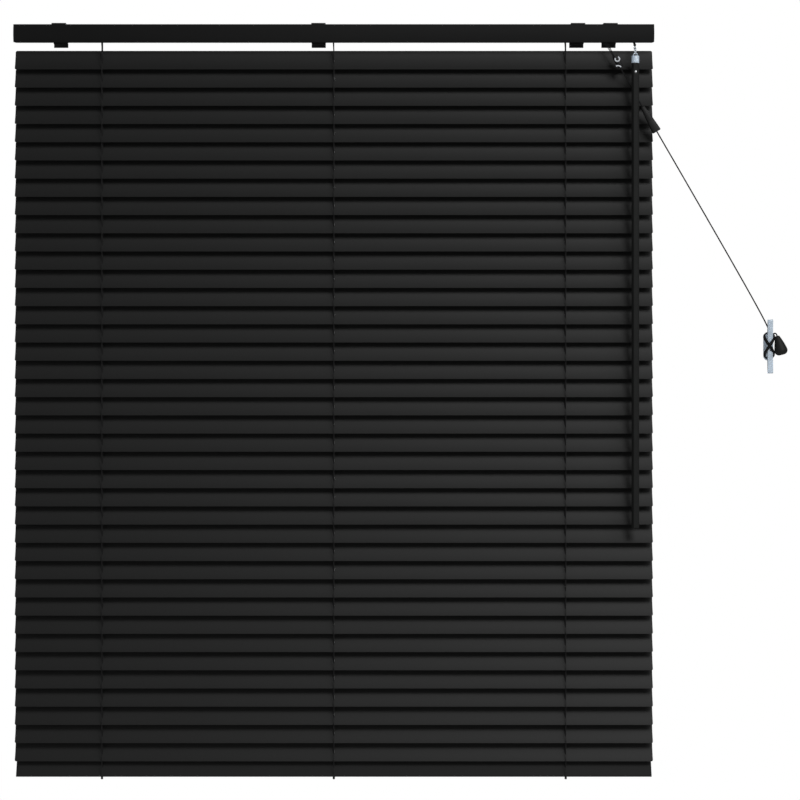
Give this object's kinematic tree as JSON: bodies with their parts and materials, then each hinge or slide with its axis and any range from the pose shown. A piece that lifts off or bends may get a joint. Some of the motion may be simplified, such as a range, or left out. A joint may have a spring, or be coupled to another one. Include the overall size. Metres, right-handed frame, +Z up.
{
  "type": "venetian blinds",
  "caption": "Closed black aluminium venetian blind with a headrail on wall brackets, tilting slats on string ladders, a tilt wand, and a pull cord tied off on a clear cleat.",
  "frame": {"origin": "on the wall plane, at the middle of the blind's width and half the headrail's height", "axes": "+Z up, +X to the right as seen from the room, +Y into the wall"},
  "size_m": [0.9072, 0.0399, 0.8861],
  "materials": {
    "black_aluminium": "satin black paint",
    "painted_steel": "satin black paint",
    "steel": "zinc plated",
    "black_plastic": "moulded",
    "grey_plastic": "moulded",
    "clear_plastic": "clear, slightly blue",
    "black_cord": "woven polyester"
  },
  "bodies": {
    "blind_head": {"headrail": "black_aluminium", "headrail_end_caps": "black_plastic", "mounting_brackets": "painted_steel", "drum_cradles": "grey_plastic", "tilter_housing": "grey_plastic", "cord_lock": "grey_plastic", "cleat": "clear_plastic", "cleat_winding": "black_cord", "pull_cord": "black_cord", "equalizer": "black_plastic"},
    "tilt_shaft": {"tilt_rod": "steel", "tilt_drums": "grey_plastic", "tilter_gear": "grey_plastic"},
    "worm_stem": {"tilter_worm": "black_plastic"},
    "wand_hook": {"wand_connector": "clear_plastic"},
    "wand_bar": {"wand": "black_plastic"},
    "tassel_pull": {"tassel": "black_plastic"},
    "slat_01_blade": {"slat_01": "black_aluminium"},
    "slat_02_blade": {"slat_02": "black_aluminium"},
    "slat_03_blade": {"slat_03": "black_aluminium"},
    "slat_04_blade": {"slat_04": "black_aluminium"},
    "slat_05_blade": {"slat_05": "black_aluminium"},
    "slat_06_blade": {"slat_06": "black_aluminium"},
    "slat_07_blade": {"slat_07": "black_aluminium"},
    "slat_08_blade": {"slat_08": "black_aluminium"},
    "slat_09_blade": {"slat_09": "black_aluminium"},
    "slat_10_blade": {"slat_10": "black_aluminium"},
    "slat_11_blade": {"slat_11": "black_aluminium"},
    "slat_12_blade": {"slat_12": "black_aluminium"},
    "slat_13_blade": {"slat_13": "black_aluminium"},
    "slat_14_blade": {"slat_14": "black_aluminium"},
    "slat_15_blade": {"slat_15": "black_aluminium"},
    "slat_16_blade": {"slat_16": "black_aluminium"},
    "slat_17_blade": {"slat_17": "black_aluminium"},
    "slat_18_blade": {"slat_18": "black_aluminium"},
    "slat_19_blade": {"slat_19": "black_aluminium"},
    "slat_20_blade": {"slat_20": "black_aluminium"},
    "slat_21_blade": {"slat_21": "black_aluminium"},
    "slat_22_blade": {"slat_22": "black_aluminium"},
    "slat_23_blade": {"slat_23": "black_aluminium"},
    "slat_24_blade": {"slat_24": "black_aluminium"},
    "slat_25_blade": {"slat_25": "black_aluminium"},
    "slat_26_blade": {"slat_26": "black_aluminium"},
    "slat_27_blade": {"slat_27": "black_aluminium"},
    "slat_28_blade": {"slat_28": "black_aluminium"},
    "slat_29_blade": {"slat_29": "black_aluminium"},
    "slat_30_blade": {"slat_30": "black_aluminium"},
    "slat_31_blade": {"slat_31": "black_aluminium"},
    "slat_32_blade": {"slat_32": "black_aluminium"},
    "slat_33_blade": {"slat_33": "black_aluminium"},
    "slat_34_blade": {"slat_34": "black_aluminium"},
    "slat_35_blade": {"slat_35": "black_aluminium"},
    "slat_36_blade": {"slat_36": "black_aluminium"},
    "slat_37_blade": {"slat_37": "black_aluminium"},
    "slat_38_blade": {"slat_38": "black_aluminium"},
    "slat_39_blade": {"slat_39": "black_aluminium"},
    "bottom_bar": {"bottom_rail": "painted_steel", "bottom_rail_caps": "black_plastic"},
    "front_ladders": {"ladder_front_strings": "black_cord"},
    "back_ladders": {"ladder_back_strings": "black_cord"}
  },
  "joints": [
    {"name": "tilt_rod_turn", "type": "hinge", "parent": "blind_head", "child": "tilt_shaft", "pos_m": [0, -0.016, 0.0012], "axis": [-1, 0, 0], "range_deg": [0, 210]},
    {"name": "slat_01_tilt", "type": "hinge", "parent": "blind_head", "child": "slat_01_blade", "pos_m": [0, -0.016, -0.0297], "axis": [-1, 0, 0], "range_deg": [0, 134]},
    {"name": "slat_02_tilt", "type": "hinge", "parent": "blind_head", "child": "slat_02_blade", "pos_m": [0, -0.016, -0.05105], "axis": [-1, 0, 0], "range_deg": [0, 134]},
    {"name": "slat_03_tilt", "type": "hinge", "parent": "blind_head", "child": "slat_03_blade", "pos_m": [0, -0.016, -0.0724], "axis": [-1, 0, 0], "range_deg": [0, 134]},
    {"name": "slat_04_tilt", "type": "hinge", "parent": "blind_head", "child": "slat_04_blade", "pos_m": [0, -0.016, -0.09375], "axis": [-1, 0, 0], "range_deg": [0, 134]},
    {"name": "slat_05_tilt", "type": "hinge", "parent": "blind_head", "child": "slat_05_blade", "pos_m": [0, -0.016, -0.1151], "axis": [-1, 0, 0], "range_deg": [0, 134]},
    {"name": "slat_06_tilt", "type": "hinge", "parent": "blind_head", "child": "slat_06_blade", "pos_m": [0, -0.016, -0.13645], "axis": [-1, 0, 0], "range_deg": [0, 134]},
    {"name": "slat_07_tilt", "type": "hinge", "parent": "blind_head", "child": "slat_07_blade", "pos_m": [0, -0.016, -0.1578], "axis": [-1, 0, 0], "range_deg": [0, 134]},
    {"name": "slat_08_tilt", "type": "hinge", "parent": "blind_head", "child": "slat_08_blade", "pos_m": [0, -0.016, -0.17915], "axis": [-1, 0, 0], "range_deg": [0, 134]},
    {"name": "slat_09_tilt", "type": "hinge", "parent": "blind_head", "child": "slat_09_blade", "pos_m": [0, -0.016, -0.2005], "axis": [-1, 0, 0], "range_deg": [0, 134]},
    {"name": "slat_10_tilt", "type": "hinge", "parent": "blind_head", "child": "slat_10_blade", "pos_m": [0, -0.016, -0.22185], "axis": [-1, 0, 0], "range_deg": [0, 134]},
    {"name": "slat_11_tilt", "type": "hinge", "parent": "blind_head", "child": "slat_11_blade", "pos_m": [0, -0.016, -0.2432], "axis": [-1, 0, 0], "range_deg": [0, 134]},
    {"name": "slat_12_tilt", "type": "hinge", "parent": "blind_head", "child": "slat_12_blade", "pos_m": [0, -0.016, -0.26455], "axis": [-1, 0, 0], "range_deg": [0, 134]},
    {"name": "slat_13_tilt", "type": "hinge", "parent": "blind_head", "child": "slat_13_blade", "pos_m": [0, -0.016, -0.2859], "axis": [-1, 0, 0], "range_deg": [0, 134]},
    {"name": "slat_14_tilt", "type": "hinge", "parent": "blind_head", "child": "slat_14_blade", "pos_m": [0, -0.016, -0.30725], "axis": [-1, 0, 0], "range_deg": [0, 134]},
    {"name": "slat_15_tilt", "type": "hinge", "parent": "blind_head", "child": "slat_15_blade", "pos_m": [0, -0.016, -0.3286], "axis": [-1, 0, 0], "range_deg": [0, 134]},
    {"name": "slat_16_tilt", "type": "hinge", "parent": "blind_head", "child": "slat_16_blade", "pos_m": [0, -0.016, -0.34995], "axis": [-1, 0, 0], "range_deg": [0, 134]},
    {"name": "slat_17_tilt", "type": "hinge", "parent": "blind_head", "child": "slat_17_blade", "pos_m": [0, -0.016, -0.3713], "axis": [-1, 0, 0], "range_deg": [0, 134]},
    {"name": "slat_18_tilt", "type": "hinge", "parent": "blind_head", "child": "slat_18_blade", "pos_m": [0, -0.016, -0.39265], "axis": [-1, 0, 0], "range_deg": [0, 134]},
    {"name": "slat_19_tilt", "type": "hinge", "parent": "blind_head", "child": "slat_19_blade", "pos_m": [0, -0.016, -0.414], "axis": [-1, 0, 0], "range_deg": [0, 134]},
    {"name": "slat_20_tilt", "type": "hinge", "parent": "blind_head", "child": "slat_20_blade", "pos_m": [0, -0.016, -0.43535], "axis": [-1, 0, 0], "range_deg": [0, 134]},
    {"name": "slat_21_tilt", "type": "hinge", "parent": "blind_head", "child": "slat_21_blade", "pos_m": [0, -0.016, -0.4567], "axis": [-1, 0, 0], "range_deg": [0, 134]},
    {"name": "slat_22_tilt", "type": "hinge", "parent": "blind_head", "child": "slat_22_blade", "pos_m": [0, -0.016, -0.47805], "axis": [-1, 0, 0], "range_deg": [0, 134]},
    {"name": "slat_23_tilt", "type": "hinge", "parent": "blind_head", "child": "slat_23_blade", "pos_m": [0, -0.016, -0.4994], "axis": [-1, 0, 0], "range_deg": [0, 134]},
    {"name": "slat_24_tilt", "type": "hinge", "parent": "blind_head", "child": "slat_24_blade", "pos_m": [0, -0.016, -0.52075], "axis": [-1, 0, 0], "range_deg": [0, 134]},
    {"name": "slat_25_tilt", "type": "hinge", "parent": "blind_head", "child": "slat_25_blade", "pos_m": [0, -0.016, -0.5421], "axis": [-1, 0, 0], "range_deg": [0, 134]},
    {"name": "slat_26_tilt", "type": "hinge", "parent": "blind_head", "child": "slat_26_blade", "pos_m": [0, -0.016, -0.56345], "axis": [-1, 0, 0], "range_deg": [0, 134]},
    {"name": "slat_27_tilt", "type": "hinge", "parent": "blind_head", "child": "slat_27_blade", "pos_m": [0, -0.016, -0.5848], "axis": [-1, 0, 0], "range_deg": [0, 134]},
    {"name": "slat_28_tilt", "type": "hinge", "parent": "blind_head", "child": "slat_28_blade", "pos_m": [0, -0.016, -0.60615], "axis": [-1, 0, 0], "range_deg": [0, 134]},
    {"name": "slat_29_tilt", "type": "hinge", "parent": "blind_head", "child": "slat_29_blade", "pos_m": [0, -0.016, -0.6275], "axis": [-1, 0, 0], "range_deg": [0, 134]},
    {"name": "slat_30_tilt", "type": "hinge", "parent": "blind_head", "child": "slat_30_blade", "pos_m": [0, -0.016, -0.64885], "axis": [-1, 0, 0], "range_deg": [0, 134]},
    {"name": "slat_31_tilt", "type": "hinge", "parent": "blind_head", "child": "slat_31_blade", "pos_m": [0, -0.016, -0.6702], "axis": [-1, 0, 0], "range_deg": [0, 134]},
    {"name": "slat_32_tilt", "type": "hinge", "parent": "blind_head", "child": "slat_32_blade", "pos_m": [0, -0.016, -0.69155], "axis": [-1, 0, 0], "range_deg": [0, 134]},
    {"name": "slat_33_tilt", "type": "hinge", "parent": "blind_head", "child": "slat_33_blade", "pos_m": [0, -0.016, -0.7129], "axis": [-1, 0, 0], "range_deg": [0, 134]},
    {"name": "slat_34_tilt", "type": "hinge", "parent": "blind_head", "child": "slat_34_blade", "pos_m": [0, -0.016, -0.73425], "axis": [-1, 0, 0], "range_deg": [0, 134]},
    {"name": "slat_35_tilt", "type": "hinge", "parent": "blind_head", "child": "slat_35_blade", "pos_m": [0, -0.016, -0.7556], "axis": [-1, 0, 0], "range_deg": [0, 134]},
    {"name": "slat_36_tilt", "type": "hinge", "parent": "blind_head", "child": "slat_36_blade", "pos_m": [0, -0.016, -0.77695], "axis": [-1, 0, 0], "range_deg": [0, 134]},
    {"name": "slat_37_tilt", "type": "hinge", "parent": "blind_head", "child": "slat_37_blade", "pos_m": [0, -0.016, -0.7983], "axis": [-1, 0, 0], "range_deg": [0, 134]},
    {"name": "slat_38_tilt", "type": "hinge", "parent": "blind_head", "child": "slat_38_blade", "pos_m": [0, -0.016, -0.81965], "axis": [-1, 0, 0], "range_deg": [0, 134]},
    {"name": "slat_39_tilt", "type": "hinge", "parent": "blind_head", "child": "slat_39_blade", "pos_m": [0, -0.016, -0.841], "axis": [-1, 0, 0], "range_deg": [0, 134]},
    {"name": "bottom_rail_tilt", "type": "hinge", "parent": "blind_head", "child": "bottom_bar", "pos_m": [0, -0.016, -0.859], "axis": [-1, 0, 0], "range_deg": [0, 134]},
    {"name": "front_ladder_shift", "type": "hinge", "parent": "slat_01_blade", "child": "front_ladders", "pos_m": [0, -0.02088, -0.04121], "axis": [-1, 0, 0], "range_deg": [-134, 0]},
    {"name": "back_ladder_shift", "type": "hinge", "parent": "slat_01_blade", "child": "back_ladders", "pos_m": [0, -0.01112, -0.01819], "axis": [-1, 0, 0], "range_deg": [-134, 0]},
    {"name": "worm_turn", "type": "hinge", "parent": "blind_head", "child": "worm_stem", "pos_m": [0.3519, -0.01281, -0.00433], "axis": [0, 0.866, 0.5], "range_deg": [0, 2520]},
    {"name": "wand_swing", "type": "hinge", "parent": "blind_head", "child": "wand_hook", "pos_m": [0.3519, -0.0295, -0.01397], "axis": [-1, 0, 0], "range_deg": [0, 60]},
    {"name": "wand_turn", "type": "hinge", "parent": "wand_hook", "child": "wand_bar", "pos_m": [0.3519, -0.0352, -0.036], "axis": [0, 0, 1], "range_deg": [0, 2520]},
    {"name": "tassel_swing", "type": "hinge", "parent": "blind_head", "child": "tassel_pull", "pos_m": [0.5201, -0.019, -0.3536], "axis": [0, -1, 0], "range_deg": [0, 60]}
  ],
  "couplings": [
    {"joint": "tilt_rod_turn", "follows": "wand_turn", "ratio": 0.083333},
    {"joint": "slat_01_tilt", "follows": "wand_turn", "ratio": 0.053167},
    {"joint": "slat_02_tilt", "follows": "wand_turn", "ratio": 0.053167},
    {"joint": "slat_03_tilt", "follows": "wand_turn", "ratio": 0.053167},
    {"joint": "slat_04_tilt", "follows": "wand_turn", "ratio": 0.053167},
    {"joint": "slat_05_tilt", "follows": "wand_turn", "ratio": 0.053167},
    {"joint": "slat_06_tilt", "follows": "wand_turn", "ratio": 0.053167},
    {"joint": "slat_07_tilt", "follows": "wand_turn", "ratio": 0.053167},
    {"joint": "slat_08_tilt", "follows": "wand_turn", "ratio": 0.053167},
    {"joint": "slat_09_tilt", "follows": "wand_turn", "ratio": 0.053167},
    {"joint": "slat_10_tilt", "follows": "wand_turn", "ratio": 0.053167},
    {"joint": "slat_11_tilt", "follows": "wand_turn", "ratio": 0.053167},
    {"joint": "slat_12_tilt", "follows": "wand_turn", "ratio": 0.053167},
    {"joint": "slat_13_tilt", "follows": "wand_turn", "ratio": 0.053167},
    {"joint": "slat_14_tilt", "follows": "wand_turn", "ratio": 0.053167},
    {"joint": "slat_15_tilt", "follows": "wand_turn", "ratio": 0.053167},
    {"joint": "slat_16_tilt", "follows": "wand_turn", "ratio": 0.053167},
    {"joint": "slat_17_tilt", "follows": "wand_turn", "ratio": 0.053167},
    {"joint": "slat_18_tilt", "follows": "wand_turn", "ratio": 0.053167},
    {"joint": "slat_19_tilt", "follows": "wand_turn", "ratio": 0.053167},
    {"joint": "slat_20_tilt", "follows": "wand_turn", "ratio": 0.053167},
    {"joint": "slat_21_tilt", "follows": "wand_turn", "ratio": 0.053167},
    {"joint": "slat_22_tilt", "follows": "wand_turn", "ratio": 0.053167},
    {"joint": "slat_23_tilt", "follows": "wand_turn", "ratio": 0.053167},
    {"joint": "slat_24_tilt", "follows": "wand_turn", "ratio": 0.053167},
    {"joint": "slat_25_tilt", "follows": "wand_turn", "ratio": 0.053167},
    {"joint": "slat_26_tilt", "follows": "wand_turn", "ratio": 0.053167},
    {"joint": "slat_27_tilt", "follows": "wand_turn", "ratio": 0.053167},
    {"joint": "slat_28_tilt", "follows": "wand_turn", "ratio": 0.053167},
    {"joint": "slat_29_tilt", "follows": "wand_turn", "ratio": 0.053167},
    {"joint": "slat_30_tilt", "follows": "wand_turn", "ratio": 0.053167},
    {"joint": "slat_31_tilt", "follows": "wand_turn", "ratio": 0.053167},
    {"joint": "slat_32_tilt", "follows": "wand_turn", "ratio": 0.053167},
    {"joint": "slat_33_tilt", "follows": "wand_turn", "ratio": 0.053167},
    {"joint": "slat_34_tilt", "follows": "wand_turn", "ratio": 0.053167},
    {"joint": "slat_35_tilt", "follows": "wand_turn", "ratio": 0.053167},
    {"joint": "slat_36_tilt", "follows": "wand_turn", "ratio": 0.053167},
    {"joint": "slat_37_tilt", "follows": "wand_turn", "ratio": 0.053167},
    {"joint": "slat_38_tilt", "follows": "wand_turn", "ratio": 0.053167},
    {"joint": "slat_39_tilt", "follows": "wand_turn", "ratio": 0.053167},
    {"joint": "bottom_rail_tilt", "follows": "wand_turn", "ratio": 0.053167},
    {"joint": "front_ladder_shift", "follows": "wand_turn", "ratio": -0.053167},
    {"joint": "back_ladder_shift", "follows": "wand_turn", "ratio": -0.053167},
    {"joint": "worm_turn", "follows": "wand_turn", "ratio": 1}
  ]
}
